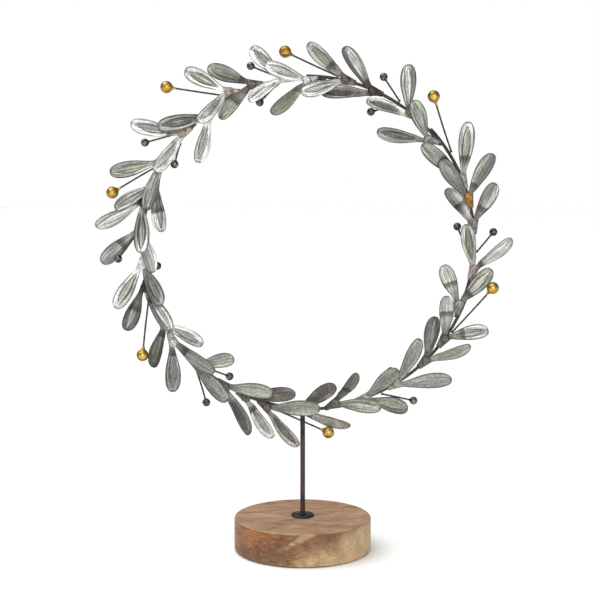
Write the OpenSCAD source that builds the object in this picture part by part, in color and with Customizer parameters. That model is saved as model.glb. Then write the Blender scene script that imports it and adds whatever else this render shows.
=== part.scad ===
// A wreath of stamped sheet-metal leaves and ball berries on a wire hoop,
// held up by one iron rod on a round wooden base.
// Origin: centre of the underside. +Z up, the front of the wreath faces -Y.

/* [Base] */
// Diameter of the wooden base
base_d = 139; // [120:1:180]
// Thickness of the wooden base
base_h = 33; // [26:1:45]
// Rounding of the base's two edges
base_edge_r = 1.5; // [0.5:0.5:3]
// Thickness of the felt pad under the base
felt_t = 1; // [0.5:0.5:2]
// Diameter of the iron foot plate on top of the base
foot_d = 24; // [18:1:34]
// Thickness of the foot plate
foot_h = 2.4; // [1.5:0.1:4]

/* [Rod] */
// Diameter of the rod
rod_d = 5; // [4:0.5:6]
// Radial clearance of the rod in the wood
rod_clearance = 0.08; // [0.05:0.01:0.1]

/* [Hoop] */
// Radius of the hoop's centre line
hoop_r = 165; // [155:1:175]
// Height of the hoop's centre above the surface it stands on
hoop_z = 311; // [300:1:330]
// How far the hoop's centre stands to the right of the rod
hoop_x = 6; // [0:1:10]
// Diameter of the hoop wire
wire_d = 3.2; // [2.8:0.1:3.6]
// How far each stem runs on past the start of the next one, in degrees
stem_overlap = 7; // [3:1:10]

/* [Leaves] */
// Width of a leaf blade laid flat
leaf_w = 15.5; // [12:0.5:17]
// Thickness of the sheet metal
leaf_t = 0.8; // [0.6:0.1:1]
// How far the edges of a blade are cupped forward
leaf_cup = 1.4; // [0.5:0.1:2]
// How far the middle of a blade bows forward
leaf_bow = 1.2; // [0:0.2:2]
// Length of the two tails that lie along the wire behind a fork
tail_l = 15; // [10:1:15]

/* [Berries] */
// Diameter of a gold berry
gold_d = 12; // [9:0.5:13]
// Diameter of a small dark berry
small_d = 8; // [6:0.5:9]
// Diameter of the wire that carries a berry
berry_wire_d = 1.8; // [1.4:0.1:2]

/* [Hidden] */
// Leaf pairs, counter-clockwise from the bottom: [angle round the hoop, how far the fork
// stands outside the hoop line, outer leaf, inner leaf]. A leaf is [splay away from the
// hoop line, reach from fork to tip, lift to the front, roll about its own length].
PAIRS = [
    [257, 6, [39, 46, 4, -30], [17, 50, 14, 20]],
    [268, 0, [18, 51, 0, -40], [38, 41, 5, 25]],
    [281, -6, [18, 42, 17, 30], [47, 34, 6, -40]],
    [292, 1, [40, 40, 0, 20], [24, 40, 12, 30]],
    [304, 1, [31, 51, 3, 25], [34, 48, 8, -20]],
    [317, 0, [31, 43, 4, -35], [35, 42, 6, 25]],
    [327, 0, [50, 41, 5, 25], [36, 40, 6, -15]],
    [340, -4, [25, 44, 6, 0], [45, 39, 5, 15]],
    [353, 3, [45, 44, 8, -30], [21, 43, 14, 30]],
    [9, 0, [41, 42, -2, -10], [33, 40, -4, -25]],
    [18, 0, [50, 46, 6, 25], [21, 43, 12, 15]],
    [25, 0, [32, 52, 6, 0], [28, 49, 12, 15]],
    [43, -9, [25, 38, 14, 0], [39, 47, 4, 30]],
    [54, -1, [56, 45, 4, 10], [22, 41, 4, -30]],
    [69, -2, [38, 48, 8, -20], [25, 46, 0, -30]],
    [79, 1, [35, 47, 10, 30], [30, 42, 12, 30]],
    [92, -4, [27, 41, 14, 25], [42, 44, 5, 35]],
    [100, 3, [56, 40, 2, 15], [29, 38, 10, -35]],
    [111, 4, [43, 41, 18, -5], [31, 43, 10, -25]],
    [119, 7, [58, 44, -2, 5], [20, 39, 12, 40]],
    [129, -6, [30, 48, 12, 10], [39, 44, 5, 30]],
    [140, 4, [64, 48, 4, 10], [7, 42, 14, 35]],
    [152, 5, [52, 47, 6, 5], [16, 46, 14, -25]],
    [160, -1, [41, 42, 12, -30], [31, 44, 3, -20]],
    [167, 7, [52, 48, 3, 30], [16, 46, 16, 15]],
    [176, 4, [47, 47, 4, 0], [24, 42, 8, 40]],
    [188, 4, [41, 47, 8, 0], [21, 41, 17, 20]],
    [196, 7, [41, 42, 3, 15], [20, 47, 12, 30]],
    [210, 0, [48, 42, 5, -30], [35, 41, 8, 40]],
    [217, 3, [39, 46, 5, 15], [22, 48, 14, -25]],
    [228, -2, [8, 44, 16, 20], [53, 36, 3, 30]],
    [241, 2, [36, 50, 4, 45], [25, 45, 12, 35]],
    [249, 2, [37, 45, 6, -30], [28, 47, 4, 30]]
];

// Where each of the hoop's stems starts, in degrees round the hoop
STEM_STARTS = [36, 83, 132, 180, 232, 284, 333];

// Berries: [angle at which the wire meets the hoop, side that it meets, angle of the ball,
// ball's distance outside the hoop line, ball's distance to the front]. The side is 1 for
// the outer side of the hoop, -1 for the inner side and 0 for the front of a pair's tails.
GOLD_BERRIES = [
    [255, 1, 276, 25, 3.5],
    [328.5, 1, 347, 22, 13],
    [33, 1, 50, 26, 4],
    [80, 1, 97, 26, 4],
    [119, 1, 132, 44, 4],
    [151.5, 1, 165, 36, 6],
    [197.5, 1, 213.5, 34, 8]
];
SMALL_BERRIES = [
    [296, 1, 304, 23, 7],
    [293.5, -1, 303, -13, -3],
    [355.5, -1, 367, -16, 0],
    [357.5, 1, 364, 19, 2],
    [57.5, 1, 66, 16, 2],
    [58, -1, 65, -20, 0],
    [99.5, 1, 108, 20, 2],
    [101, -1, 109, -16, -4],
    [138, 1, 148, 26, 1],
    [141.5, -1, 149, -10, 2],
    [176, 0, 184, 24, 11.5],
    [178.5, -1, 188, -12, -4],
    [228.5, -1, 239, -11, 3],
    [227.5, 1, 237, 24, 3]
];

// Gap left between two pieces that are brazed side by side
contact = 0.02;
// How far a cut runs past the face that it opens
cut = 1;

base_top = felt_t + base_h;
rod_bore_d = rod_d + 2 * rod_clearance;
recess_d = 18;
recess_h = 9;
recess_top = felt_t + recess_h;
washer_d = 15;
washer_t = 1.2;
nut_h = 4;
nut_across_flats = 8;
rod_past_nut = 1;
rod_foot = recess_top - washer_t - nut_h - rod_past_nut;
felt_margin = 3;

wire_r = wire_d / 2;
berry_wire_r = berry_wire_d / 2;
stem_count = len(STEM_STARTS);
stem_gap = 0.2;
stem_step = (wire_d + stem_gap) / sqrt(2);
rod_angle = 270 - asin(hoop_x / hoop_r);
hoop_y = -(rod_d / 2 + wire_r + drift(rod_angle) + contact);
hoop_low = hoop_z - sqrt(pow(hoop_r + drift(rod_angle), 2) - pow(hoop_x, 2));
rod_top = hoop_low + wire_r;

bead_r = 4.3;
bead_h = 2.2;
bead_back = 4.2;
bead_lift = 0.65;
bead_ball_r = (pow(bead_r, 2) + pow(bead_h, 2)) / (2 * bead_h);
rod_bead_r = 3.4;
rod_bead_front = 1.5;
rod_bead_drop = 2.5 * wire_r;
// The stem that the rod is brazed to
rod_stem = 4;

foot_taper = 2;
hub_rise = 1.6;
hub_low_d = rod_d + 8;
hub_high_d = rod_d + 2;

stalk_hw = 2.7;
tail_end_hw = 1.1;
tail_gap = 0.15;
// How much further forward a fork's tails stand for each mm that the fork is off the hoop line
tail_rise = 1 / 30;
tail_start = 1;
widest = 0.64;
swelling = 1.6;
tip_power = 2.3;
tip_hw = 1.4;
roll_start = 0.06;
roll_end = 0.32;
BLADE_STEPS = [0.12, 0.3, 0.46, 0.64, 0.82, 0.94, 1];
ACROSS = [-1, -0.5, 0, 0.5, 1];
ring_n = 2 * len(ACROSS);

berry_socket = 3;
front_root_out = 6;
front_root_gap = 0.5;
root_tuck = 0.05;
paint_cone_h = 4;
braze_cone_h = 0.8;
cone_wall = 0.3;
cone_top_r = 2.6;
cone_sink = 1;

function two(n) = n < 10 ? str("0", n) : str(n);
PAIR_NAMES = [for (i = [0:len(PAIRS) - 1]) str("leaf_pair_", two(i + 1))];
STEM_NAMES = [for (i = [0:stem_count - 1]) str("stem_", i + 1)];
GOLD_NAMES = [for (i = [0:len(GOLD_BERRIES) - 1]) str("gold_berry_", i + 1)];

// ---- the hoop line: seven stems, each leaning back and out so that it ends beside the next

function round_of(a) = [cos(a), 0, sin(a)];
function along(a) = [-sin(a), 0, cos(a)];
FRONT = [0, -1, 0];

function stem_end(i) = i + 1 < stem_count ? STEM_STARTS[i + 1] : STEM_STARTS[0] + 360;
function stem_half(i) = (stem_end(i) - STEM_STARTS[i]) / 2;
function stem_middle(i) = STEM_STARTS[i] + stem_half(i);
function stem_lean(i) = stem_step / (2 * sin(stem_half(i)));
function stem_at(a) = (len([for (s = STEM_STARTS) if (s <= a) s]) + stem_count - 1) % stem_count;
function drift(a) = let (i = stem_at(a)) stem_lean(i) * sin(a - stem_middle(i));

HOOP_CENTRE = [hoop_x, hoop_y, hoop_z];
function hoop_point(a, out = 0, front = 0) =
    HOOP_CENTRE + (hoop_r + drift(a) + out) * round_of(a) + (front - drift(a)) * FRONT;

// ---- a leaf: rings of points, from the end of its tail to its tip

function unit(v) = v / norm(v);

// Swelling from the stalk to its widest, then round a broad tip
function blade_half_width(u) = u < widest
    ? stalk_hw + (leaf_w / 2 - stalk_hw) * pow(sin(90 * u / widest), swelling)
    : max(tip_hw, leaf_w / 2 * tip_curve((u - widest) / (1 - widest)));
function tip_curve(t) = pow(1 - pow(t, tip_power), 1 / tip_power);

// One ring across a leaf: front points from the inner edge to the outer, then the back ones
function ring(p, side, normal, hw) = let (cup = leaf_cup * pow(2 * hw / leaf_w, 2)) concat(
    [for (v = ACROSS) p + v * hw * side + cup * v * v * normal],
    [for (i = [len(ACROSS) - 1:-1:0])
        let (v = ACROSS[i]) p + v * hw * side + (cup * v * v - leaf_t) * normal]
);

function tail_ring(a, out, back, hw, way) = let (
    here = a - back / hoop_r * 180 / PI,
    share = 1 - back / tail_l,
    front = wire_r + leaf_t + contact + tail_rise * share * abs(out)
) ring(
    hoop_point(here, out * share + way * (hw + tail_gap), front),
    round_of(here), FRONT, hw
);

// way is 1 for the outer leaf of a pair and -1 for the inner one
function leaf_points(a, out, leaf, way) = let (
    fork = hoop_point(a, out, wire_r + leaf_t + contact + tail_rise * abs(out)),
    root = fork + way * (stalk_hw + tail_gap) * round_of(a),
    tip = fork + leaf[1] * (cos(leaf[0]) * along(a) + way * sin(leaf[0]) * round_of(a)
        + tan(leaf[2]) * FRONT),
    run = tip - root,
    flat_side = unit([run[2], 0, -run[0]]),
    flat_normal = unit(cross(flat_side, run))
) concat(
    tail_ring(a, out, tail_l, tail_end_hw, way),
    tail_ring(a, out, tail_start, stalk_hw, way),
    [for (u = BLADE_STEPS) let (
        roll = leaf[3] * min(1, max(0, u - roll_start) / (roll_end - roll_start)),
        side = cos(roll) * flat_side + sin(roll) * flat_normal,
        normal = cos(roll) * flat_normal - sin(roll) * flat_side
    ) each ring(root + u * run + 4 * leaf_bow * u * (1 - u) * normal,
        side, normal, blade_half_width(u))]
);

function band(r) = [for (j = [0:ring_n - 1]) let (
    a = r * ring_n + j,
    b = r * ring_n + (j + 1) % ring_n
) each [[a, a + ring_n, b], [b, a + ring_n, b + ring_n]]];

function cap(r, flip) = [for (j = [0:len(ACROSS) - 2]) let (
    a = r * ring_n + j,
    b = (r + 1) * ring_n - 1 - j
) each flip
    ? [[a, b - 1, b], [a, a + 1, b - 1]]
    : [[a, b, b - 1], [a, b - 1, a + 1]]];

module leaf(a, out, shape, way) {
    rings = len(BLADE_STEPS) + 2;
    polyhedron(
        points = leaf_points(a, out, shape, way),
        faces = concat(
            [for (r = [0:rings - 2]) each band(r)],
            cap(0, true),
            cap(rings - 1, false)
        )
    );
}

module leaf_pair(i) {
    color("darkseagreen") {
        leaf(PAIRS[i][0], PAIRS[i][1], PAIRS[i][2], 1);
        leaf(PAIRS[i][0], PAIRS[i][1], PAIRS[i][3], -1);
    }
}

// A low dome of braze on the front of each fork's tails
module bead() {
    rotate_extrude($fn = 48)
        intersection() {
            translate([0, bead_h - bead_ball_r]) circle(r = bead_ball_r, $fn = 96);
            square([bead_r, bead_h]);
        }
}

module braze_beads() {
    color("rosybrown")
        for (p = PAIRS) {
            a = p[0] - bead_back / hoop_r * 180 / PI;
            share = 1 - bead_back / tail_l;
            translate(hoop_point(a, p[1] * share, wire_r + leaf_t + bead_lift))
                rotate([90, 0, 0])
                    bead();
        }
}

// ---- hoop, rod and base

module stem(i) {
    mid = stem_middle(i);
    lean = asin(stem_lean(i) / hoop_r);
    color("dimgray")
        translate(HOOP_CENTRE + stem_lean(i) * along(mid))
            rotate([0, -mid, 0])
                rotate([-lean, 0, 0])
                    rotate([90, 0, 0])
                        rotate([0, 0, -stem_half(i)])
                            rotate_extrude(angle = 2 * stem_half(i) + stem_overlap, $fn = 180)
                                translate([hoop_r, 0])
                                    circle(d = wire_d, $fn = 32);
}

module stand_rod() {
    color("sienna")
        translate([0, 0, rod_foot]) cylinder(d = rod_d, h = rod_top - rod_foot, $fn = 48);
}

module rod_braze() {
    color("saddlebrown")
        difference() {
            translate([0, -rod_bead_front, rod_top - rod_bead_drop]) sphere(r = rod_bead_r, $fn = 48);
            translate([0, 0, rod_foot]) cylinder(d = rod_d, h = rod_top - rod_foot, $fn = 48);
            stem(rod_stem);
        }
}

module foot_plate() {
    hub_h = foot_h + hub_rise;
    color("dimgray")
        translate([0, 0, base_top])
            difference() {
                union() {
                    cylinder(d1 = foot_d, d2 = foot_d - foot_taper, h = foot_h, $fn = 64);
                    cylinder(d1 = hub_low_d, d2 = hub_high_d, h = hub_h, $fn = 48);
                }
                translate([0, 0, -cut]) cylinder(d = rod_d, h = hub_h + 2 * cut, $fn = 48);
            }
}

module rounded_disc(d, h, r) {
    rotate_extrude($fn = 180) {
        square([d / 2 - r, h]);
        translate([0, r]) square([d / 2, h - 2 * r]);
        for (z = [r, h - r]) translate([d / 2 - r, z]) circle(r = r, $fn = 32);
    }
}

module wood_base() {
    color("tan")
        translate([0, 0, felt_t])
            difference() {
                rounded_disc(base_d, base_h, base_edge_r);
                translate([0, 0, -cut]) cylinder(d = rod_bore_d, h = base_h + 2 * cut, $fn = 48);
                translate([0, 0, -cut]) cylinder(d = recess_d, h = recess_h + cut, $fn = 48);
            }
}

module felt_pad() {
    color("darkolivegreen") cylinder(d = base_d - 2 * felt_margin, h = felt_t, $fn = 180);
}

module washer() {
    color("silver")
        translate([0, 0, recess_top - washer_t])
            difference() {
                cylinder(d = washer_d, h = washer_t, $fn = 48);
                translate([0, 0, -cut]) cylinder(d = rod_bore_d, h = washer_t + 2 * cut, $fn = 48);
            }
}

module nut() {
    color("silver")
        translate([0, 0, recess_top - washer_t - nut_h])
            difference() {
                cylinder(d = nut_across_flats / cos(30), h = nut_h, $fn = 6);
                translate([0, 0, -cut]) cylinder(d = rod_d, h = nut_h + 2 * cut, $fn = 48);
            }
}

// ---- berries

// A wire starts against the side of the hoop under the leaf tails, or in front of the tails
function berry_root(b) = b[1] == 0
    ? hoop_point(b[0], front_root_out, wire_r + 2 * leaf_t + berry_wire_r + front_root_gap)
    : hoop_point(b[0], b[1] * (wire_r + berry_wire_r - root_tuck), wire_r - berry_wire_r - contact);
function berry_ball(b) =
    HOOP_CENTRE + (hoop_r + b[3]) * round_of(b[2]) + b[4] * FRONT;

// Turns +Z to point along v
module aim(v) {
    rotate([0, acos(v[2] / norm(v)), atan2(v[1], v[0])]) children();
}

module berry_wire(b, d) {
    run = berry_ball(b) - berry_root(b);
    translate(berry_root(b))
        aim(run)
            cylinder(r = berry_wire_r, h = norm(run) - d / 2 + berry_socket, $fn = 24);
}

// A ball with a cone of paint or braze below it, turned round its wire as one profile
module berry(b, d, cone_h) {
    run = berry_ball(b) - berry_root(b);
    neck = norm(run) - d / 2;
    cone = [
        [0, neck - cone_h],
        [berry_wire_r + cone_wall, neck - cone_h],
        [cone_top_r, neck + cone_sink],
        [0, neck + cone_sink]
    ];
    translate(berry_root(b))
        aim(run)
            rotate_extrude($fn = 48)
                difference() {
                    intersection() {
                        union() {
                            translate([0, neck + d / 2]) circle(d = d, $fn = 96);
                            polygon(cone);
                        }
                        square([d, neck + 2 * d]);
                    }
                    square([berry_wire_r, neck + berry_socket]);
                }
}

module gold_berry(i) {
    color("goldenrod") berry(GOLD_BERRIES[i], gold_d, paint_cone_h);
}

module gold_berry_wires() {
    color("dimgray") for (b = GOLD_BERRIES) berry_wire(b, gold_d);
}

module small_berries() {
    color("darkslategray") for (b = SMALL_BERRIES) berry(b, small_d, braze_cone_h);
}

module small_berry_wires() {
    color("dimgray") for (b = SMALL_BERRIES) berry_wire(b, small_d);
}

wood_base();
felt_pad();
washer();
nut();
stand_rod();
foot_plate();
rod_braze();
for (i = [0:stem_count - 1]) stem(i);
for (i = [0:len(PAIRS) - 1]) leaf_pair(i);
braze_beads();
for (i = [0:len(GOLD_BERRIES) - 1]) gold_berry(i);
gold_berry_wires();
small_berries();
small_berry_wires();
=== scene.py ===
"""A standing wreath of stamped metal leaves and ball berries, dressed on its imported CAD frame."""
import math
from collections import namedtuple

import bmesh
import bpy
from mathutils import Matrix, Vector, noise

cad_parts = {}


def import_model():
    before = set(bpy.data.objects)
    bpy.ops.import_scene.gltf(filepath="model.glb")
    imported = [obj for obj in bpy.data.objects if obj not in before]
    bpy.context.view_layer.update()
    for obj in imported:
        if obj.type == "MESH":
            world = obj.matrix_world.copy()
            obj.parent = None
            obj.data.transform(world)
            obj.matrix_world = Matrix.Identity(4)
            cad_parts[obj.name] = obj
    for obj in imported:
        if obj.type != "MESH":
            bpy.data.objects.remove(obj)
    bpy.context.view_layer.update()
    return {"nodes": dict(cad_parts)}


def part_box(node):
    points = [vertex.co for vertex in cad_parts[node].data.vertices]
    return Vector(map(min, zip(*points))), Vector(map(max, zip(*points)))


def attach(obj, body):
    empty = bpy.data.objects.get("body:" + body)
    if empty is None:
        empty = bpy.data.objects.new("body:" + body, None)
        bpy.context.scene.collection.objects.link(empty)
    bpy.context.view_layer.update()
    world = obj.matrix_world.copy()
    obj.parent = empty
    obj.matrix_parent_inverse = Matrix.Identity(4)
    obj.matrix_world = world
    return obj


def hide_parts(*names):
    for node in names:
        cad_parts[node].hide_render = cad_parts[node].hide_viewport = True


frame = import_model()

MM = 0.001
FRONT = Vector((0, -1, 0))
UP = Vector((0, 0, 1))
BASE = "base"
WREATH = "wreath"
WOOD_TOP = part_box("wood_base")[1].z
STEMS = [name for name in frame["nodes"] if name.startswith("stem_")]

# ---- leaf stamping: heights in millimetres, places across and along the leaf as shares

SHEET = 0.5
LEAF_ROWS = 34
LEAF_COLUMNS = 23
WIDEST = 0.64
SWELLING = 1.6
TIP_POWER = 2.3
TIP_END = 0.004
CHANNEL_WIDTH = 0.56
CHANNEL_DEPTH = 0.75
CHANNEL_START = 0.07
CHANNEL_END = 0.93
RIB_HEIGHT = 0.55
RIB_WIDTH = 0.11
CREST_HEIGHT = 0.35
CREST_WIDTH = 0.1
RIM_HEIGHT = 0.3
CUP = 1.4
WAVE = 0.25
TAIL_WRAP = 1.3
# The relief is this deep on a leaf of one colour, and deeper where rim and channel differ; the
# painted shade along its creases deepens with it
PLAIN_DEPTH = 0.35
DEPTH_BY_CONTRAST = 3
# Heat browns the leaf from its fork to this share of its length; the neck's colour
# covers the tail this strongly
HEAT_REACH = 0.5
NECK_SHARE = 0.85
# Points in each cross-section of a CAD leaf, and the share of its width that is its ridge
RING_POINTS = 10
RIDGE_SHARE = 0.2

# Height below the hoop's centre at which the sheet starts to turn matt, and is fully matt; the matt
# sheet is rougher and shows less painted sheen
MATT_START = 60
MATT_FULL = 140

# Colours of the sheet as the metal reflects them: each one's brightness is painted reflection of the
# light, over the part's real tint
TONES_WITH_REFLECTION = {
    "white": (0.90, 0.90, 0.87),
    "pale": (0.60, 0.61, 0.56),
    "green": (0.38, 0.41, 0.33),
    "grey": (0.35, 0.36, 0.33),
    "olive": (0.26, 0.275, 0.215),
    "mauve": (0.27, 0.25, 0.245),
    "dark": (0.15, 0.155, 0.14),
    "brown": (0.15, 0.13, 0.115),
    "black": (0.05, 0.04, 0.035),
    "tan": (0.36, 0.29, 0.215),
    "pink": (0.46, 0.38, 0.34),
    "rust": (0.20, 0.10, 0.055),
    "gold": (0.38, 0.20, 0.045),
}

# One row for each leaf pair, from leaf_pair_01 on: (outer leaf, inner leaf, neck).
# A leaf is (colour of its rim, colour of its channel, share of its length at which
# a dark band crosses it, or 0, and how strongly its foot is browned by heat).
# The rim, channel and neck colours paint in how brightly each part reflects the light.
LOOKS = [
    (("pale", "olive", 0, 0.4), ("green", "green", 0, 0.3), "brown"),
    (("pale", "white", 0.2, 0.3), ("brown", "brown", 0, 0.6), "brown"),
    (("green", "pale", 0, 0.3), ("olive", "mauve", 0.42, 0.9), "brown"),
    (("grey", "green", 0, 0.1), ("green", "grey", 0, 0.2), "grey"),
    (("grey", "grey", 0, 0.1), ("green", "grey", 0, 0.1), "green"),
    (("green", "green", 0, 0.1), ("dark", "grey", 0, 0.2), "brown"),
    (("pale", "grey", 0.38, 0.8), ("pale", "pale", 0.58, 0.8), "brown"),
    (("green", "pale", 0.27, 0.7), ("pale", "pale", 0.50, 0.8), "mauve"),
    (("pale", "white", 0.12, 0.3), ("pale", "olive", 0, 0.3), "pink"),
    (("grey", "grey", 0.33, 0.8), ("pale", "pale", 0.5, 0.5), "mauve"),
    (("grey", "green", 0.22, 0.5), ("mauve", "grey", 0, 0.8), "gold"),
    (("pale", "green", 0.33, 0.4), ("grey", "grey", 0, 0.2), "grey"),
    (("green", "grey", 0, 0.2), ("grey", "dark", 0, 0.2), "grey"),
    (("grey", "pale", 0, 0.1), ("white", "green", 0, 0.1), "dark"),
    (("grey", "white", 0.16, 1.0), ("grey", "brown", 0, 0.8), "black"),
    (("pale", "green", 0.36, 0.8), ("white", "pale", 0, 0.5), "brown"),
    (("white", "pale", 0, 0.1), ("olive", "olive", 0, 0.2), "pale"),
    (("white", "green", 0, 0.1), ("white", "pale", 0, 0.1), "pale"),
    (("grey", "olive", 0.18, 0.9), ("olive", "green", 0.48, 1.0), "brown"),
    (("white", "green", 0, 0.1), ("white", "pale", 0, 0.1), "pink"),
    (("grey", "dark", 0.12, 0.3), ("white", "pale", 0, 0.1), "pale"),
    (("white", "grey", 0.18, 0.3), ("white", "pale", 0, 0.1), "tan"),
    (("grey", "olive", 0, 0.1), ("grey", "pale", 0, 0.3), "dark"),
    (("grey", "mauve", 0, 0.2), ("white", "pale", 0.53, 0.5), "dark"),
    (("pale", "white", 0, 0.1), ("pale", "grey", 0, 0.1), "black"),
    (("grey", "grey", 0.42, 0.3), ("white", "white", 0, 0.1), "white"),
    (("white", "green", 0, 0.1), ("grey", "mauve", 0, 0.2), "white"),
    (("dark", "grey", 0.45, 1.0), ("pale", "white", 0.25, 0.3), "black"),
    (("dark", "grey", 0.20, 0.3), ("white", "pale", 0, 0.1), "pale"),
    (("grey", "mauve", 0.18, 0.4), ("grey", "grey", 0.28, 0.6), "pale"),
    (("grey", "grey", 0, 0.1), ("grey", "green", 0, 0.2), "dark"),
    (("grey", "mauve", 0, 0.2), ("green", "green", 0, 0.3), "brown"),
    (("white", "pale", 0.24, 0.4), ("brown", "brown", 0, 0.7), "dark"),
]
HEAT_BROWN = (0.17, 0.13, 0.115)
BLOOM = (0.35, 0.365, 0.285)
# Colour of the painted shade along the leaves' creases and edges
PAINTED_SHADE_COLOUR = (0.045, 0.045, 0.038)
SOOT = (0.055, 0.05, 0.05)

# ---- beads, berries and base: lengths in millimetres

BEAD_STRETCH = 1.15
BEAD_LUMP_HEIGHT = 0.9
BEAD_LUMP_SIZE = 3.5
# The lowest leaf pair and its bead come just after this angle round the hoop, in degrees
FIRST_BEAD = 250
# The paint cone meets the ball this many degrees from its top
CONE_MEETS = 155
CONE_FLARE = 1.15
CONE_END = 1.05
GOLD_CONE = 3.4
SMALL_CONE = 0.8
WIRE_BEND = 0.5
SPIRAL_HEIGHT = 0.05
SOLDER_HEIGHT = 0.5
SOLDER_LENGTH = 1.6
# The plate's edge takes this share of its height, and its underside ends this far inside
PLATE_EDGE = 0.55
PLATE_FOOT = 0.6
WOOD_ROUNDING = 1.5
RECESS_GAP = 1.5
ROD_GAP = 0.08

# ---- camera and light, in metres and degrees

CAMERA_PLACE = (-0.0027, -1.3, 0.3803)
CAMERA_PITCH = -5.49
LENS = 78.0
SENSOR = 36.0
SUN_FROM = (-0.4, 0.02, 1.0)
SUN_ENERGY = 2.5
SUN_SPREAD = 60
SOFTBOX_PLACE = (0.15, -1.5, 0.75)
SOFTBOX_SIZE = (0.9, 0.9)
SOFTBOX_POWER = 9

# ---- small helpers


def clamp(x, low=0.0, high=1.0):
    return max(low, min(high, x))


def smoothstep(start, end, x):
    t = clamp((x - start) / (end - start))
    return t * t * (3 - 2 * t)


def hump(x, width):
    return math.exp(-(x / width) ** 2)


def blend(a, b, share):
    return tuple(p + (q - p) * share for p, q in zip(a, b))


def islands(node):
    """The separate solids of a CAD node: for each, its points and which points join which."""
    bm = bmesh.new()
    bm.from_mesh(frame["nodes"][node].data)
    bmesh.ops.remove_doubles(bm, verts=bm.verts, dist=1e-6)
    bm.verts.ensure_lookup_table()
    left = set(range(len(bm.verts)))
    found = []
    while left:
        queue = [left.pop()]
        members = []
        while queue:
            i = queue.pop()
            members.append(i)
            for edge in bm.verts[i].link_edges:
                j = edge.other_vert(bm.verts[i]).index
                if j in left:
                    left.remove(j)
                    queue.append(j)
        places = {i: bm.verts[i].co.copy() for i in members}
        joins = {}
        for i in members:
            joins[i] = [edge.other_vert(bm.verts[i]).index for edge in bm.verts[i].link_edges]
        found.append((places, joins))
    bm.free()
    return found


def middle(points):
    return sum(points, Vector()) / len(points)


def box_of(points):
    """The lowest and the highest corner of the box round some points."""
    low = Vector([min(p[k] for p in points) for k in range(3)])
    high = Vector([max(p[k] for p in points) for k in range(3)])
    return low, high


def hoop_centre():
    low, high = box_of([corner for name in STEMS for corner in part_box(name)])
    return (low + high) / 2


HOOP = hoop_centre()


def radius_of(node):
    """Half the width of a round CAD node."""
    low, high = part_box(node)
    return (high.x - low.x) / 2


def spread(start, end, count):
    """Evenly spaced values that end at end and start one step after start."""
    return [start + (end - start) * i / count for i in range(1, count + 1)]


def piece(name, verts, faces, material, body, stands_for, attributes=()):
    """A new smooth mesh that rides on a body and stands for CAD nodes."""
    mesh = bpy.data.meshes.new(name)
    mesh.from_pydata([tuple(v) for v in verts], [], faces)
    mesh.polygons.foreach_set("use_smooth", [True] * len(faces))
    for label, kind, field, values in attributes:
        flat = [x for value in values for x in value]
        mesh.attributes.new(label, kind, "POINT").data.foreach_set(field, flat)
    mesh.materials.append(material)
    mesh.update()
    bm = bmesh.new()
    bm.from_mesh(mesh)
    bmesh.ops.recalc_face_normals(bm, faces=bm.faces)
    bm.to_mesh(mesh)
    bm.free()
    obj = bpy.data.objects.new(name, mesh)
    bpy.context.scene.collection.objects.link(obj)
    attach(obj, body)
    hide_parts(*stands_for)


def tube_faces(first, rings, sides):
    """Faces of a closed tube whose rings follow each other from vertex number first."""
    faces = []
    for r in range(rings - 1):
        for s in range(sides):
            a = first + r * sides + s
            b = first + r * sides + (s + 1) % sides
            faces.append((a, b, b + sides, a + sides))
    faces.append(tuple(first + s for s in reversed(range(sides))))
    faces.append(tuple(first + (rings - 1) * sides + s for s in range(sides)))
    return faces


def lathe(centre, axis, profile, sides, wobble=None):
    """Points turned round an axis: profile is a list of (distance along, radius)."""
    axis = axis.normalized()
    across = axis.orthogonal().normalized()
    other = axis.cross(across)
    verts = []
    for along, radius in profile:
        for s in range(sides):
            turn = 2 * math.pi * s / sides
            out = math.cos(turn) * across + math.sin(turn) * other
            point = centre + along * axis + radius * out
            verts.append(point + wobble(point, out) if wobble else point)
    return verts, tube_faces(0, len(profile), sides)


def lumps(size, height, seed):
    """A wobble for lathe: soft lumps of that size and height, in metres."""
    def wobble(point, out):
        return out * height * noise.noise(point / size + Vector((seed, 0, 0)))

    return wobble


# ---- materials


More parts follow.
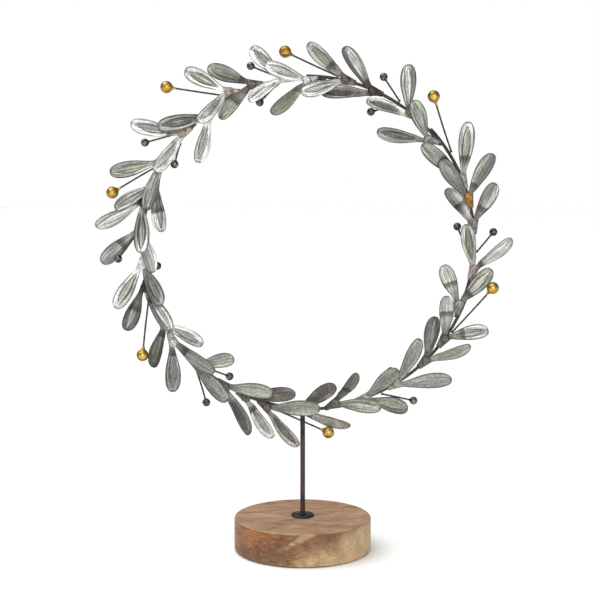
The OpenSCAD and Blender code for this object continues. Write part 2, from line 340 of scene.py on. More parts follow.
class Paint:
    """A material's node tree, with short names for the nodes that it is made of."""

    def __init__(self, name, metallic, roughness):
        self.material = bpy.data.materials.new(name)
        self.material.use_nodes = True
        self.tree = self.material.node_tree
        self.shader = self.tree.nodes["Principled BSDF"]
        self.shader.inputs["Metallic"].default_value = metallic
        self.shader.inputs["Roughness"].default_value = roughness

    def put(self, socket, value):
        if isinstance(value, bpy.types.NodeSocket):
            self.tree.links.new(value, socket)
        elif socket.type == "RGBA" and len(value) == 3:
            socket.default_value = (*value, 1)
        else:
            socket.default_value = value

    def attribute(self, name, output="Vector"):
        node = self.tree.nodes.new("ShaderNodeAttribute")
        node.attribute_name = name
        return node.outputs[output]

    def position(self):
        return self.tree.nodes.new("ShaderNodeTexCoord").outputs["Object"]

    def split(self, vector):
        node = self.tree.nodes.new("ShaderNodeSeparateXYZ")
        self.put(node.inputs[0], vector)
        return node.outputs

    def join(self, x, y, z):
        node = self.tree.nodes.new("ShaderNodeCombineXYZ")
        for socket, value in zip(node.inputs, (x, y, z)):
            self.put(socket, value)
        return node.outputs[0]

    def scaled(self, vector, scale, turn=(0, 0, 0)):
        node = self.tree.nodes.new("ShaderNodeMapping")
        self.put(node.inputs["Vector"], vector)
        self.put(node.inputs["Rotation"], turn)
        self.put(node.inputs["Scale"], scale)
        return node.outputs[0]

    def noise(self, vector, scale, detail=3.0, roughness=0.5, distortion=0.0):
        node = self.tree.nodes.new("ShaderNodeTexNoise")
        self.put(node.inputs["Vector"], vector)
        self.put(node.inputs["Scale"], scale)
        self.put(node.inputs["Detail"], detail)
        self.put(node.inputs["Roughness"], roughness)
        self.put(node.inputs["Distortion"], distortion)
        return node.outputs["Fac"]

    def times(self, a, b):
        return self.math("MULTIPLY", a, b)

    def plus(self, a, b):
        return self.math("ADD", a, b)

    def centred(self, noise_value, swing):
        """A noise moved to swing about 0, as far as swing."""
        return self.times(self.math("SUBTRACT", noise_value, 0.5), swing)

    def math(self, operation, a, b=0.0, clamped=False):
        node = self.tree.nodes.new("ShaderNodeMath")
        node.operation = operation
        node.use_clamp = clamped
        self.put(node.inputs[0], a)
        self.put(node.inputs[1], b)
        return node.outputs[0]

    def range(self, value, low, high, new_low=0.0, new_high=1.0, smooth=True):
        node = self.tree.nodes.new("ShaderNodeMapRange")
        node.interpolation_type = "SMOOTHSTEP" if smooth else "LINEAR"
        for name, number in (("Value", value), ("From Min", low), ("From Max", high),
                             ("To Min", new_low), ("To Max", new_high)):
            self.put(node.inputs[name], number)
        return node.outputs[0]

    def mix(self, share, a, b, kind="MIX"):
        node = self.tree.nodes.new("ShaderNodeMix")
        node.data_type = "RGBA"
        node.blend_type = kind
        self.put(node.inputs["Factor"], share)
        self.put(node.inputs["A"], a)
        self.put(node.inputs["B"], b)
        return node.outputs["Result"]

    def ramp(self, value, stops):
        node = self.tree.nodes.new("ShaderNodeValToRGB")
        elements = node.color_ramp.elements
        while len(elements) < len(stops):
            elements.new(0.5)
        for element, (place, colour) in zip(elements, stops):
            element.position = place
            element.color = (*colour, 1)
        self.put(node.inputs[0], value)
        return node.outputs[0]

    def shade(self, share, colour, value, stops):
        """A colour multiplied by a ramp of the value."""
        return self.mix(share, colour, self.ramp(value, stops), "MULTIPLY")

    def facing(self):
        """0 where the surface faces the viewer, 1 at its outline."""
        node = self.tree.nodes.new("ShaderNodeLayerWeight")
        node.inputs["Blend"].default_value = 0.5
        return node.outputs["Facing"]

    def bump(self, height, distance, strength):
        node = self.tree.nodes.new("ShaderNodeBump")
        node.inputs["Strength"].default_value = strength
        node.inputs["Distance"].default_value = distance
        self.put(node.inputs["Height"], height)
        return node.outputs[0]

    def finish(self, colour, roughness=None, normal=None):
        self.put(self.shader.inputs["Base Color"], colour)
        if roughness is not None:
            self.put(self.shader.inputs["Roughness"], roughness)
        if normal is not None:
            self.put(self.shader.inputs["Normal"], normal)
        return self.material


def grey(value):
    return (value, value, value)


def leaf_steel():
    """Galvanised sheet: lengthwise streak lines that are partly painted sheen, mottled bloom,
    specks, a dark heat band, and painted shade along creases and edges. The streak lines, with their
    painted sheen, rule the upper wreath; further down the sheet is matt and speckled."""
    p = Paint("galvanised_leaf", 0.78, 0.4)
    u, v, seed = p.split(p.attribute("place"))
    # The first of the marks is painted shade along creases and edges; then come the dark band and
    # the heat browning
    painted_shade_share, band, browned = p.split(p.attribute("marks"))
    where = p.position()
    streaks_and_sheen = p.noise(p.join(p.times(u, 0.8), p.times(v, 3.4), seed), 2.0, 3.5, 0.6)
    mottle = p.noise(where, 260.0, 4.0, 0.65, 0.6)
    bloom = p.noise(where, 95.0, 3.0, 0.6)
    speck = p.noise(where, 1000.0, 2.0, 0.7)
    matt = p.range(p.split(where)[2], HOOP.z - MATT_START * MM, HOOP.z - MATT_FULL * MM)
    colour = p.mix(p.range(bloom, 0.46, 0.7, 0.0, 0.5), p.attribute("tone", "Color"), BLOOM)
    # Painted sheen: the streak lines, partly real lines in the sheet, lift the bright ones to nearly
    # twice the sheet's colour, less so low on the wreath
    colour = p.shade(p.range(matt, 0.0, 1.0, 1.0, 0.55), colour, streaks_and_sheen,
                     [(0.3, grey(0.15)), (0.43, grey(0.68)), (0.55, grey(1.0)), (0.68, grey(1.9))])
    colour = p.shade(0.45, colour, mottle, [(0.3, grey(0.5)), (0.5, grey(0.95)), (0.7, grey(1.25))])
    colour = p.shade(p.range(matt, 0.0, 1.0, 0.3, 0.75), colour, speck,
                     [(0.38, grey(0.3)), (0.62, grey(1.35))])
    # Painted shade: creases and edges darkened towards near black
    colour = p.mix(p.times(painted_shade_share, 0.95), colour, PAINTED_SHADE_COLOUR)
    past_band = p.math("SUBTRACT", p.plus(u, p.centred(streaks_and_sheen, 0.12)), band)
    in_band = p.times(p.range(past_band, -0.2, -0.03), p.range(past_band, 0.04, 0.02))
    has_band = p.math("GREATER_THAN", band, 0.01)
    colour = p.mix(p.times(p.times(in_band, has_band), 0.8), colour, SOOT)
    roughness = p.plus(p.range(streaks_and_sheen, 0.3, 0.7, 0.5, 0.28), p.times(matt, 0.12))
    roughness = p.plus(roughness, p.times(browned, 0.2))
    relief = p.plus(p.times(streaks_and_sheen, 0.6), p.times(mottle, 0.3))
    return p.finish(colour, roughness, p.bump(relief, 0.4 * MM, 0.6))


def iron(name, dark, light, rust, rust_share, roughness, scale, grain=(1, 1, 1)):
    """Bare or rusty iron: two browns, patches of rust and a pitted skin."""
    p = Paint(name, 0.6, roughness)
    where = p.scaled(p.position(), grain)
    broad = p.noise(where, scale, 4.0, 0.65)
    fine = p.noise(where, scale * 6, 3.0, 0.7)
    colour = p.ramp(broad, [(0.32, dark), (0.68, light)])
    rust_start = 0.62 - rust_share * 0.2
    rusty = p.range(fine, rust_start, rust_start + 0.16)
    colour = p.mix(p.times(rusty, rust_share), colour, rust)
    rough = p.math("ADD", p.times(rusty, 0.25), roughness, clamped=True)
    return p.finish(colour, rough, p.bump(fine, 0.3 * MM, 0.6))


def braze():
    """Braze beads: each keeps its neck's colour with its painted reflection, mottled and slightly
    wet-looking.
    """
    p = Paint("braze_bead", 0.55, 0.42)
    mottle = p.noise(p.position(), 420.0, 4.0, 0.7)
    colour = p.shade(1.0, p.attribute("tone", "Color"), mottle,
                     [(0.34, grey(0.22)), (0.48, grey(0.8)), (0.64, (1.4, 1.3, 1.15))])
    return p.finish(colour, p.range(mottle, 0.3, 0.7, 0.55, 0.3), p.bump(mottle, 0.5 * MM, 0.7))


def gold_paint():
    """Antique gold: brushed metallic paint with darker clouds, and painted shade in its hollows and
    towards its outlines.
    """
    p = Paint("antique_gold", 0.85, 0.34)
    cloud = p.noise(p.position(), 260.0, 4.0, 0.6)
    grain = p.noise(p.position(), 1800.0, 2.0, 0.6)
    colour = p.ramp(cloud, [(0.3, (0.30, 0.155, 0.02)), (0.5, (0.52, 0.315, 0.055)),
                            (0.7, (0.80, 0.56, 0.17))])
    # Painted shade: darker towards each ball's outline, where its surface turns away from the viewer
    colour = p.shade(1.0, colour, p.facing(),
                     [(0.12, grey(1.0)), (0.5, grey(0.55)), (0.85, (0.25, 0.19, 0.15))])
    return p.finish(colour, p.range(grain, 0.3, 0.7, 0.26, 0.42), p.bump(grain, 0.15 * MM, 0.4))


def dark_steel():
    """Small berries: gunmetal balls with a brown bloom and painted shade darkening them towards
    their outlines.
    """
    p = Paint("gunmetal", 0.9, 0.22)
    cloud = p.noise(p.position(), 300.0, 4.0, 0.65)
    colour = p.ramp(cloud, [(0.35, (0.04, 0.03, 0.03)), (0.5, (0.11, 0.085, 0.08)),
                            (0.66, (0.30, 0.25, 0.24))])
    # Painted shade: darker towards each ball's outline
    colour = p.shade(1.0, colour, p.facing(), [(0.2, grey(1.0)), (0.8, grey(0.25))])
    return p.finish(colour, p.range(cloud, 0.3, 0.7, 0.18, 0.34), p.bump(cloud, 0.2 * MM, 0.4))


def wood_top(p, x, y, warp, cloud):
    """Flowing figure, slanted across the disc, with pinker clouds."""
    slant = p.plus(p.plus(y, p.times(x, -0.25)), p.centred(warp, 0.06))
    figure = p.noise(p.join(p.times(x, 0.3), slant, 0.0), 75.0, 5.0, 0.62)
    top = p.ramp(figure, [(0.32, (0.20, 0.10, 0.055)), (0.42, (0.36, 0.21, 0.13)),
                          (0.54, (0.44, 0.30, 0.18)), (0.68, (0.56, 0.40, 0.25))])
    return p.mix(p.range(cloud, 0.45, 0.62, 0.0, 0.5), top, (0.42, 0.21, 0.13)), figure


def wood_side(p, x, z, where, cloud, saw):
    """Sawn grain that leans to the right: orange, then brown, then pale tan, with a pale
    wedge in the brown near the top. The saw marks carry painted highlights, strongest on the left."""
    lean = p.plus(x, p.times(p.math("SUBTRACT", z, WOOD_TOP / 2), -2.0))
    ragged = p.plus(lean, p.centred(cloud, 0.05))
    side = p.ramp(p.range(ragged, -0.08, 0.08, 0, 1, False),
                  [(0.14, (0.35, 0.155, 0.06)), (0.28, (0.22, 0.11, 0.055)),
                   (0.42, (0.235, 0.125, 0.062)), (0.56, (0.29, 0.16, 0.08)),
                   (0.76, (0.56, 0.385, 0.215))])
    wedge = p.range(p.math("ABSOLUTE", p.plus(ragged, 0.028)), 0.009, 0.002)
    high_up = p.range(z, WOOD_TOP * 0.35, WOOD_TOP * 0.85, 0.0, 0.75)
    side = p.mix(p.times(wedge, high_up), side, (0.56, 0.39, 0.21))
    patch = p.noise(where, 48.0, 4.0, 0.65)
    side = p.shade(1.0, side, patch, [(0.36, grey(0.72)), (0.5, grey(0.95)), (0.64, grey(1.15))])
    # Saw marks: real cut lines, with painted highlights on their ridges up to well above the wood's
    # colour, strongest on the left
    rightness = p.range(x, -0.03, 0.045)
    return p.shade(p.range(rightness, 0.0, 1.0, 0.6, 0.15), side, saw,
                   [(0.36, grey(0.4)), (0.5, grey(0.9)), (0.66, (1.7, 1.5, 1.3))])


def wood():
    """Oiled hardwood: figured on top, sawn round the side, with open pores all over."""
    p = Paint("oiled_wood", 0.0, 0.5)
    p.shader.inputs["Specular IOR Level"].default_value = 0.25
    where = p.position()
    x, y, z = p.split(where)
    warp = p.noise(where, 16.0, 3.0, 0.55)
    cloud = p.noise(where, 26.0, 3.0, 0.6)
    saw = p.noise(p.join(p.times(x, 0.25), p.times(y, 0.25), z), 400.0, 4.0, 0.7, 0.5)
    pore = p.noise(p.scaled(where, (1.0, 7.0, 4.0), (0, 0, 0.25)), 150.0, 3.0, 0.7)
    top, figure = wood_top(p, x, y, warp, cloud)
    on_side = p.math("LESS_THAN", z, WOOD_TOP - 0.8 * MM)
    colour = p.mix(on_side, top, wood_side(p, x, z, where, cloud, saw))
    colour = p.shade(0.4, colour, pore, [(0.36, grey(0.4)), (0.55, grey(1.1))])
    relief = p.plus(p.times(p.times(saw, on_side), 0.7), p.times(pore, 0.4))
    return p.finish(colour, p.range(figure, 0.3, 0.7, 0.6, 0.42), p.bump(relief, 0.6 * MM, 0.5))


def felt():
    """Dark green felt under the base."""
    p = Paint("felt", 0.0, 0.95)
    fibre = p.noise(p.position(), 2500.0, 4.0, 0.8)
    colour = p.ramp(fibre, [(0.3, (0.02, 0.025, 0.02)), (0.7, (0.08, 0.09, 0.07))])
    return p.finish(colour, None, p.bump(fibre, 0.6 * MM, 0.8))


def zinc():
    """Zinc-plated washer and nut."""
    p = Paint("zinc_plate", 0.9, 0.35)
    spangle = p.noise(p.position(), 500.0, 3.0, 0.6)
    colour = p.ramp(spangle, [(0.3, (0.45, 0.46, 0.48)), (0.7, (0.68, 0.69, 0.70))])
    return p.finish(colour, p.range(spangle, 0.3, 0.7, 0.3, 0.5), p.bump(spangle, 0.2 * MM, 0.3))


# ---- leaves

# The middle of the front face, the direction across, the direction to the front and half
# the width of a leaf's cross-section
Section = namedtuple("Section", "centre side facing half")


def angle_round(point):
    """The point's angle round the hoop, counter-clockwise from the right, seen from the front."""
    return math.atan2(point.z - HOOP.z, point.x - HOOP.x)


def angle_past(point, start):
    """How far the point is past an angle, the short way round."""
    return (angle_round(point) - start + math.pi) % (2 * math.pi) - math.pi


def outward(point):
    """The direction away from the hoop's centre, in the plane of the hoop."""
    away = Vector((point.x - HOOP.x, 0, point.z - HOOP.z))
    return away.normalized()


def leaf_rings(places, joins):
    """The CAD leaf's cross-sections from the end of its tail to its tip, as lists of points."""
    rough = angle_round(middle(list(places.values())))
    start = sorted(places, key=lambda i: angle_past(places[i], rough))[:RING_POINTS]
    rings = [start]
    seen = set(start)
    while len(seen) < len(places):
        step = {j for i in rings[-1] for j in joins[i] if j not in seen}
        rings.append(sorted(step))
        seen |= step
    return [[places[i] for i in ring] for ring in rings]


def section(points, run):
    """The Section through a ring of points: side is the way in which the ring is widest."""
    centre = middle(points)
    across = outward(centre)
    across = (across - across.dot(run) * run).normalized()
    through = run.cross(across)
    xx = sum((p - centre).dot(across) ** 2 for p in points)
    yy = sum((p - centre).dot(through) ** 2 for p in points)
    xy = sum((p - centre).dot(across) * (p - centre).dot(through) for p in points)
    turn = 0.5 * math.atan2(2 * xy, xx - yy)
    side = math.cos(turn) * across + math.sin(turn) * through
    facing = side.cross(run)
    if facing.dot(FRONT) < 0:
        facing = -facing
    if side.dot(outward(centre)) < 0:
        side = -side
    half = max(abs((p - centre).dot(side)) for p in points)
    ridge = [p for p in points if abs((p - centre).dot(side)) < half * RIDGE_SHARE]
    return Section(max(ridge, key=lambda p: (p - centre).dot(facing)), side, facing, half)


def leaf_line(rings):
    """(place, Section) along a leaf: -1 is the end of its tail, 0 the fork and 1 the tip."""
    root = middle(rings[1])
    run = middle(rings[-1]) - root
    along = run / run.length
    tail_run = (root - middle(rings[0])).normalized()
    line = [(-1.0, section(rings[0], tail_run)), (0.0, section(rings[1], tail_run))]
    for ring in rings[2:]:
        part = section(ring, along)
        line.append(((part.centre - root).dot(along) / run.length, part))
    return line


def frame_at(line, u):
    """(centre, direction across, direction to the front) at place u along a leaf."""
    k = max(i for i in range(len(line) - 1) if line[i][0] <= u or i == 0)
    place, part = line[k]
    next_place, next_part = line[k + 1]
    t = clamp((u - place) / (next_place - place))
    centre = part.centre.lerp(next_part.centre, t)
    side = part.side.lerp(next_part.side, t).normalized()
    facing = part.facing.lerp(next_part.facing, t).normalized()
    return centre, side, facing


def channel_half(u):
    """Half the width of the stamped channel, as a share of the leaf's half width."""
    inside = clamp((u - CHANNEL_START) / (CHANNEL_END - CHANNEL_START))
    return CHANNEL_WIDTH * math.sin(math.pi * inside) ** 0.6 if 0 < inside < 1 else 0.0


def stamping(u, v, depth):
    """(height of the stamped relief in mm, share inside the channel, share of painted shade along
    the channel's outline, beside its rib and round the leaf's edges).
    """
    half = channel_half(u)
    fade = smoothstep(0.04, 0.22, u) * smoothstep(1.02, 0.9, u)
    reach = abs(v) / half if half > 0.02 else 9.0
    inside = smoothstep(1.12, 0.88, reach)
    height = -CHANNEL_DEPTH * inside * smoothstep(0.0, 0.25, half)
    height += RIB_HEIGHT * hump(v, RIB_WIDTH) * inside
    height += CREST_HEIGHT * hump(abs(v) - half, CREST_WIDTH) * smoothstep(0.1, 0.3, half)
    height *= depth
    height += RIM_HEIGHT * smoothstep(0.84, 0.96, abs(v)) * smoothstep(0.1, 0.3, u)
    # Painted shade: darker along the channel's outline and beside its rib, deeper with the relief,
    # and a dark outline painted round the leaf's edges and tip
    painted_shade = 0.9 * hump(reach - 0.86, 0.16) + 0.5 * hump(abs(v) - 0.2, 0.06) * inside
    edge = max(abs(v), smoothstep(0.82, 1.0, u))
    painted_shade = painted_shade * fade * depth + 0.7 * smoothstep(0.76, 0.98, edge) * smoothstep(0.0, 0.25, u)
    return height * fade, inside * fade, clamp(painted_shade)


def relief_depth(rim, channel):
    """How deep the stamping looks, as a share, from the two colours of the leaf."""
    if rim == channel:
        return PLAIN_DEPTH
    contrast = abs(TONES_WITH_REFLECTION[rim][1] - TONES_WITH_REFLECTION[channel][1])
    return clamp(PLAIN_DEPTH + DEPTH_BY_CONTRAST * contrast)


def leaf_colour(rim, channel, neck, inside, browned, u):
    """Rim and channel colours, with their painted reflection, browned by heat towards the fork, then
    the neck's colour, with its painted reflection.
    """
    tone = blend(TONES_WITH_REFLECTION[rim], TONES_WITH_REFLECTION[channel], inside)
    tone = blend(tone, HEAT_BROWN, browned)
    return blend(tone, TONES_WITH_REFLECTION[neck], NECK_SHARE * smoothstep(0.09, -0.08, u))


def half_width(u, stalk, widest):
    """Swelling from the stalk to the widest place, then round a broad tip."""
    if u < WIDEST:
        return stalk + (widest - stalk) * math.sin(math.pi / 2 * u / WIDEST) ** SWELLING
    past = (u - WIDEST) / (1 - WIDEST)
    return widest * max(TIP_END, 1 - past ** TIP_POWER) ** (1 / TIP_POWER)


def leaf_stations():
    """Places along a leaf, from -1 at the end of its tail through 0 at the fork to 1."""
    tail = [-1, -0.8, -0.6, -0.4, -0.2]
    blade = [math.sin(math.pi / 2 * i / (LEAF_ROWS - 1)) for i in range(LEAF_ROWS)]
    return tail + blade


def leaf_columns():
    """Places across a leaf, from -1 to 1, closer together at the rims."""
    even = [2 * i / (LEAF_COLUMNS - 1) - 1 for i in range(LEAF_COLUMNS)]
    return [math.sin(math.pi / 2 * place) for place in even]


def leaf(rings, way, look, neck, seed, shape):
    """Adds one leaf to shape: its tail on the wire, then the stamped blade.
    The way is 1 for an outer leaf and -1 for an inner one."""
    rim, channel, band, heat = look
    depth = relief_depth(rim, channel)
    line = leaf_line(rings)
    tail_half = line[0][1].half
    stalk_half = line[1][1].half
    widest = max(part.half for place, part in line[2:])
    first = len(shape["verts"])
    stations = leaf_stations()
    columns = leaf_columns()
    for u in stations:
        centre, side, facing = frame_at(line, u)
        if u < 0:
            half = tail_half + (stalk_half - tail_half) * (1 + u)
        else:
            half = half_width(u, stalk_half, widest)
        cup = CUP * MM * (half / widest) ** 2
        browned = heat * smoothstep(HEAT_REACH, 0.0, u)
        front, back = [], []
        for v in columns:
            lift, inside, painted_shade = stamping(u, v, depth)
            seam = clamp(0.5 + 0.5 * v * way)
            wrap = TAIL_WRAP * seam ** 2 * smoothstep(0.3, -0.1, u) * smoothstep(-1.4, -0.4, u)
            wave = WAVE * noise.noise(Vector((u * 2.1, v * 1.3, seed * 3.7))) * smoothstep(0, 0.5, u)
            top = centre + v * half * side + (cup * v * v + (lift - wrap + wave) * MM) * facing
            tone = leaf_colour(rim, channel, neck, inside, browned, u)
            # The marks carry the painted shade of creases and edges, then the dark band and the heat
            # browning
            facts = ((*tone, 1), (u, v, seed), (painted_shade, band, browned))
            front.append((top, facts))
            back.append((top - SHEET * MM * facing, facts))
        lip = 0.5 * SHEET * MM
        right = (front[-1][0] + lip * side - lip * facing, front[-1][1])
        left = (front[0][0] - lip * side - lip * facing, front[0][1])
        for point, (tone, place, marks) in front + [right] + back[::-1] + [left]:
            shape["verts"].append(point)
            shape["tone"].append(tone)
            shape["place"].append(place)
            shape["marks"].append(marks)
    shape["faces"] += leaf_faces(first, len(stations))


def leaf_faces(first, rows):
    """Faces round the sheet, with quads and two lip triangles across each of its ends."""
    around = 2 * LEAF_COLUMNS + 2
    faces = tube_faces(first, rows, around)[:-2]
    for row in (0, rows - 1):
        base = first + row * around
        for c in range(LEAF_COLUMNS - 1):
            back = 2 * LEAF_COLUMNS - c
            faces.append((base + c, base + c + 1, base + back - 1, base + back))
        left = 2 * LEAF_COLUMNS + 1
        faces.append((base, base + left - 1, base + left))
        faces.append((base + LEAF_COLUMNS - 1, base + LEAF_COLUMNS, base + LEAF_COLUMNS + 1))
    return faces


def leaf_pairs(material):
    """One piece for each pair, made along the two solids of its CAD node."""
    for number, (outer, inner, neck) in enumerate(LOOKS, start=1):
        node = f"leaf_pair_{number:02d}"
        shape = {"verts": [], "faces": [], "tone": [], "place": [], "marks": []}
        rings = [leaf_rings(*island) for island in islands(node)]
        rings.sort(key=lambda r: (middle(r[-1]) - HOOP).xz.length, reverse=True)
        leaf(rings[0], 1, outer, neck, number, shape)
        leaf(rings[1], -1, inner, neck, number + 0.5, shape)
        # The marks attribute holds painted shade of creases and edges, the dark band and the heat
        # browning
        attributes = [
            ("tone", "FLOAT_COLOR", "color", shape["tone"]),
            ("place", "FLOAT_VECTOR", "vector", shape["place"]),
            ("marks", "FLOAT_VECTOR", "vector", shape["marks"]),
        ]
        piece(f"leaves_{number:02d}", shape["verts"], shape["faces"], material, WREATH,
              [node], attributes)


def bead_order(point):
    """Order round the hoop from just before the lowest leaf pair."""
    return (angle_round(point) - math.radians(FIRST_BEAD)) % (2 * math.pi)


def braze_beads(material):
    """A lumpy dome on the front of each fork, in the colour of that fork's neck."""
    rows, sides = 7, 20
    verts, faces, tones = [], [], []
    boxes = [box_of(list(places.values())) for places, _ in islands("braze_beads")]
    # the beads are alike, so one of them gives the size of all
    low, high = boxes[-1]
    radius = (high.x - low.x) / 2
    height = high.y - low.y
    domes = sorted([(bottom + top) / 2 for bottom, top in boxes], key=bead_order)
    for dome, (_, _, neck) in zip(domes, LOOKS):
        first = len(verts)
        out = outward(dome)
        run = Vector((-out.z, 0, out.x))
        foot = dome - FRONT * height / 2
        for r in range(rows):
            tilt = math.pi / 2 * r / (rows - 1)
            flat = radius * math.cos(tilt)
            for s in range(sides):
                turn = 2 * math.pi * s / sides
                point = foot + flat * math.cos(turn) * out
                point += BEAD_STRETCH * flat * math.sin(turn) * run
                point += FRONT * height * math.sin(tilt)
                push = (point - foot).normalized()
                lump = BEAD_LUMP_HEIGHT * MM * noise.noise(point / (BEAD_LUMP_SIZE * MM))
                verts.append(point + push * lump)
                tones.append((*TONES_WITH_REFLECTION[neck], 1))
        faces += tube_faces(first, rows, sides)
    piece("braze_lumps", verts, faces, material, WREATH, ["braze_beads"],
          [("tone", "FLOAT_COLOR", "color", tones)])


# ---- berries

# The root of the wire, the centre of the ball and the radii of the ball and the wire
Berry = namedtuple("Berry", "root centre radius wire_radius")


def axis_of(points):
    """The two ends of a thin straight wire."""
    centre = middle(points)
    far = max(points, key=lambda p: (p - centre).length)
    direction = (far - centre).normalized()
    spans = [(p - centre).dot(direction) for p in points]
    ends = []
    for limit in (min(spans), max(spans)):
        near = [p for p, s in zip(points, spans) if abs(s - limit) < 0.6 * MM]
        ends.append(middle(near))
    return ends


def off_axis(point, root, direction):
    """How far a point is from the line through root."""
    return (point - root - (point - root).dot(direction) * direction).length


def berries(ball_nodes, wire_node):
    """A Berry for each wire, with the ball that is nearest to one of its ends."""
    balls = [list(places.values()) for node in ball_nodes for places, _ in islands(node)]
    found = []
    for places, _ in islands(wire_node):
        points = list(places.values())
        root, end = axis_of(points)
        ball = min(balls, key=lambda b: min((middle(b) - root).length, (middle(b) - end).length))
        if (middle(ball) - root).length < (middle(ball) - end).length:
            root, end = end, root
        direction = (end - root).normalized()
        wire_radius = max(off_axis(p, root, direction) for p in points)
        radius = max(off_axis(p, root, direction) for p in ball)
        top = max((p - root).dot(direction) for p in ball)
        found.append(Berry(root, root + (top - radius) * direction, radius, wire_radius))
    return found


def ball_profile(radius, wire_radius, cone):
    """From the end of the paint cone on the wire, up into the ball and over its top."""
    start = -radius - cone
    profile = [(start, 0.0), (start, wire_radius * CONE_END)]
    meet = math.radians(CONE_MEETS)
    thin = wire_radius * CONE_FLARE
    for t in spread(0, 1, 6):
        width = thin + (radius * math.sin(meet) - thin) * t ** 2.2
        profile.append((start + (radius * math.cos(meet) - start) * t, width))
    for turn in spread(meet, 0, 24):
        profile.append((radius * math.cos(turn), radius * math.sin(turn)))
    return profile


def nearest_node(nodes, point):
    """The CAD node whose box is centred nearest to a point."""
    return min(nodes, key=lambda n: ((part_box(n)[0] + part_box(n)[1]) / 2 - point).length)


def berry_balls(label, found, cone, material, nodes):
    """One piece for each node when there is one ball in each, or one piece for them all."""
    groups = [found] if len(nodes) == 1 else [[berry] for berry in found]
    for number, group in enumerate(groups, start=1):
        verts, faces = [], []
        wobble = lumps(size=4 * MM, height=0.12 * MM, seed=number)
        for berry in group:
            direction = (berry.centre - berry.root).normalized()
            profile = ball_profile(berry.radius, berry.wire_radius, cone)
            more, around = lathe(berry.centre, direction, profile, 32, wobble)
            faces += [tuple(i + len(verts) for i in face) for face in around]
            verts += more
        name = label if len(groups) == 1 else f"{label}_{number}"
        stands_for = nodes if len(groups) == 1 else [nearest_node(nodes, group[0].centre)]
        piece(name, verts, faces, material, WREATH, stands_for)


def berry_wires(label, found, material, node):
    """Wires with the faint spiral marks of drawing, a little bend and solder at the root."""
    rings, sides = 36, 12
    verts, faces = [], []
    for number, berry in enumerate(found):
        first = len(verts)
        root = berry.root
        end = berry.centre - (berry.centre - root).normalized() * berry.radius * 0.8
        direction = (end - root).normalized()
        across = direction.orthogonal().normalized()
        other = direction.cross(across)
        bend = WIRE_BEND * MM * math.sin(number * 2.3)
        for r in range(rings):
            t = (r / (rings - 1)) ** 1.6
            spot = root.lerp(end, t) + across * bend * math.sin(math.pi * t)
            solder = SOLDER_HEIGHT * MM * hump(t * (end - root).length, SOLDER_LENGTH * MM)
            for s in range(sides):
                turn = 2 * math.pi * s / sides
                spiral = SPIRAL_HEIGHT * MM * math.sin(2 * turn + 40 * t)
                out = math.cos(turn) * across + math.sin(turn) * other
                verts.append(spot + out * (berry.wire_radius + spiral + solder))
        faces += tube_faces(first, rings, sides)
    piece(label, verts, faces, material, WREATH, [node])


# ---- rod, foot plate and base


def stand_rod(material):
    """The rod, with many rings so that its soft lumps show."""
    low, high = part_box("stand_rod")
    centre = Vector(((low.x + high.x) / 2, (low.y + high.y) / 2, low.z))
    radius = radius_of("stand_rod")
    profile = [(0, radius)] + [(along, radius) for along in spread(0, high.z - low.z, 89)]
    wobble = lumps(size=5 * MM, height=0.1 * MM, seed=3)
    verts, faces = lathe(centre, UP, profile, 32, wobble)
    piece("rod", verts, faces, material, WREATH, ["stand_rod"])


def foot_plate(material):
    """A forged disc with a soft edge and a fillet of weld up the rod."""
    low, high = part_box("foot_plate")
    radius = radius_of("foot_plate")
    rod = radius_of("stand_rod")
    height = high.z - low.z
    edge = PLATE_EDGE * height
    profile = [(0, rod), (0, radius - PLATE_FOOT * MM)]
    for turn in [-math.pi / 2] + spread(-math.pi / 2, math.pi / 2, 8):
        profile.append((edge / 2 * (1 + math.sin(turn)), radius - edge / 2 * (1 - math.cos(turn))))
    for t in spread(0, 1, 9):
        rise = edge + (height - edge) * t ** 3
        profile.append((rise, radius - edge / 2 - (radius - edge / 2 - rod * 1.05) * t))
    profile.append((height, rod * 0.98))
    wobble = lumps(size=5 * MM, height=0.9 * MM, seed=8)
    verts, faces = lathe(Vector((0, 0, low.z)), UP, profile, 64, wobble)
    for v in verts:
        v.z = max(v.z, low.z)
    piece("foot_plate_forged", verts, faces, material, WREATH, ["foot_plate"])


def wood_base(material):
    """The turned disc, with its rounded edges, rod hole and nut recess."""
    low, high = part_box("wood_base")
    height = high.z - low.z
    recess_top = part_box("washer")[1].z - low.z
    recess = radius_of("washer") + RECESS_GAP * MM
    hole = radius_of("stand_rod") + ROD_GAP * MM
    radius = radius_of("wood_base")
    soft = WOOD_ROUNDING * MM
    quarter = spread(0, math.pi / 2, 6)
    profile = [(recess_top, hole), (recess_top, recess), (0, recess)]
    profile += [(0, out) for out in spread(recess, radius - soft, 8)]
    for turn in quarter:
        profile.append((soft * (1 - math.cos(turn)), radius - soft * (1 - math.sin(turn))))
    profile += [(up, radius) for up in spread(soft, height - soft, 14)]
    for turn in quarter:
        profile.append((height - soft * (1 - math.sin(turn)), radius - soft * (1 - math.cos(turn))))
    profile += [(height, out) for out in spread(radius - soft, hole, 20)]
    sides = 200
    verts, faces = lathe(Vector((0, 0, low.z)), UP, profile, sides)
    # instead of the two end caps, the wall of the rod hole
    faces = faces[:-2]
    last = (len(profile) - 1) * sides
    faces += [(last + s, last + (s + 1) % sides, (s + 1) % sides, s) for s in range(sides)]
    piece("base_wood", verts, faces, material, BASE, ["wood_base"])


def repaint(nodes, material):
    """A CAD node that stays gets its own material."""
    for name in nodes:
        mesh = frame["nodes"][name].data
        mesh.materials.clear()
        mesh.materials.append(material)


# ---- stage


def add(name, data):
    """A new object in the scene."""
    obj = bpy.data.objects.new(name, data)
    bpy.context.scene.collection.objects.link(obj)
    return obj


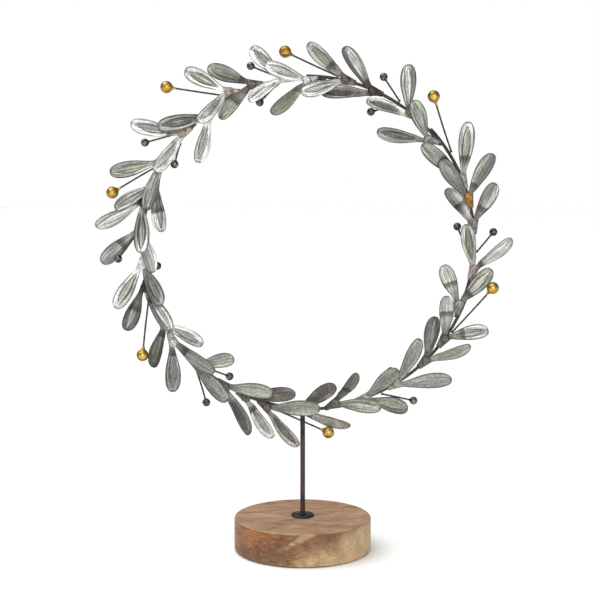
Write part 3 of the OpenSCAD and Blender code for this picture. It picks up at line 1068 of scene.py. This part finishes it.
def floor():
    """A wide, nearly white floor that glows faintly."""
    half = 14.0
    corners = [(-half, -half, 0), (half, -half, 0), (half, half, 0), (-half, half, 0)]
    mesh = bpy.data.meshes.new("floor")
    mesh.from_pydata(corners, [], [(0, 1, 2, 3)])
    p = Paint("floor_white", 0.0, 0.8)
    p.shader.inputs["Specular IOR Level"].default_value = 0.2
    p.shader.inputs["Emission Color"].default_value = (1, 1, 1, 1)
    p.shader.inputs["Emission Strength"].default_value = 0.08
    faint = p.noise(p.position(), 3.0, 2.0)
    mesh.materials.append(p.finish(p.ramp(faint, [(0.0, grey(0.93)), (1.0, grey(0.95))])))
    add("floor", mesh)


def world():
    """White where the camera sees it. In the metal it is grey, lighter towards the camera's
    side and darker behind the wreath."""
    studio = bpy.data.worlds.new("studio")
    studio.use_nodes = True
    tree = studio.node_tree
    split = tree.nodes.new("ShaderNodeSeparateXYZ")
    tree.links.new(tree.nodes.new("ShaderNodeTexCoord").outputs["Generated"], split.inputs[0])
    fade = tree.nodes.new("ShaderNodeMapRange")
    fade.interpolation_type = "SMOOTHSTEP"
    for name, number in (("From Min", -0.9), ("From Max", 0.5), ("To Min", 0.42), ("To Max", 0.2)):
        fade.inputs[name].default_value = number
    tree.links.new(split.outputs["Y"], fade.inputs["Value"])
    brighter = tree.nodes.new("ShaderNodeMath")
    brighter.operation = "MAXIMUM"
    seen = tree.nodes.new("ShaderNodeLightPath").outputs["Is Camera Ray"]
    tree.links.new(fade.outputs[0], brighter.inputs[0])
    tree.links.new(seen, brighter.inputs[1])
    background = tree.nodes["Background"]
    background.inputs["Strength"].default_value = 1.0
    tree.links.new(brighter.outputs[0], background.inputs["Color"])
    bpy.context.scene.world = studio


def lights():
    """A soft sun from above and the left, and a softbox in front."""
    sun = bpy.data.lights.new("soft_sun", "SUN")
    sun.energy = SUN_ENERGY
    sun.angle = math.radians(SUN_SPREAD)
    add("soft_sun", sun).rotation_euler = Vector(SUN_FROM).to_track_quat("Z", "Y").to_euler()
    box = bpy.data.lights.new("front", "AREA")
    box.shape = "RECTANGLE"
    box.size, box.size_y = SOFTBOX_SIZE
    box.energy = SOFTBOX_POWER
    lamp = add("front", box)
    lamp.location = SOFTBOX_PLACE
    lamp.rotation_euler = (HOOP - Vector(SOFTBOX_PLACE)).to_track_quat("-Z", "Y").to_euler()


def camera():
    """Level with the upper wreath, 1.3 m in front of it, looking slightly down."""
    data = bpy.data.cameras.new("camera")
    data.sensor_width = SENSOR
    data.lens = LENS
    data.clip_end = 50.0
    obj = add("camera", data)
    obj.location = CAMERA_PLACE
    obj.rotation_euler = (math.radians(90 + CAMERA_PITCH), 0, 0)
    bpy.context.scene.camera = obj
    bpy.context.scene.view_settings.view_transform = "Standard"


# ---- the object

WIRE = iron("wire_iron", dark=(0.018, 0.016, 0.015), light=(0.08, 0.07, 0.066),
            rust=(0.17, 0.09, 0.055), rust_share=0.5, roughness=0.42, scale=160.0)
ROD = iron("rod_iron", dark=(0.012, 0.009, 0.010), light=(0.085, 0.063, 0.064),
           rust=(0.19, 0.07, 0.04), rust_share=0.6, roughness=0.3, scale=110.0,
           grain=(1, 1, 0.5))
PLATE = iron("plate_iron", dark=(0.012, 0.011, 0.01), light=(0.05, 0.045, 0.035),
             rust=(0.10, 0.06, 0.04), rust_share=0.3, roughness=0.24, scale=140.0)
GOLD_WIRES = "gold_berry_wires"
SMALL_WIRES = "small_berry_wires"
GOLD_BALLS = sorted(n for n in frame["nodes"] if n.startswith("gold_berry_") and n != GOLD_WIRES)
SMALL_BALLS = ["small_berries"]

leaf_pairs(leaf_steel())
braze_beads(braze())
gold = berries(GOLD_BALLS, GOLD_WIRES)
small = berries(SMALL_BALLS, SMALL_WIRES)
berry_balls("gold_ball", gold, GOLD_CONE * MM, gold_paint(), GOLD_BALLS)
berry_balls("small_balls", small, SMALL_CONE * MM, dark_steel(), SMALL_BALLS)
berry_wires("gold_wires", gold, WIRE, GOLD_WIRES)
berry_wires("small_wires", small, WIRE, SMALL_WIRES)
stand_rod(ROD)
foot_plate(PLATE)
wood_base(wood())
repaint(STEMS, WIRE)
repaint(["rod_braze"], PLATE)
repaint(["felt_pad"], felt())
repaint(["washer", "nut"], zinc())
floor()
world()
lights()
camera()
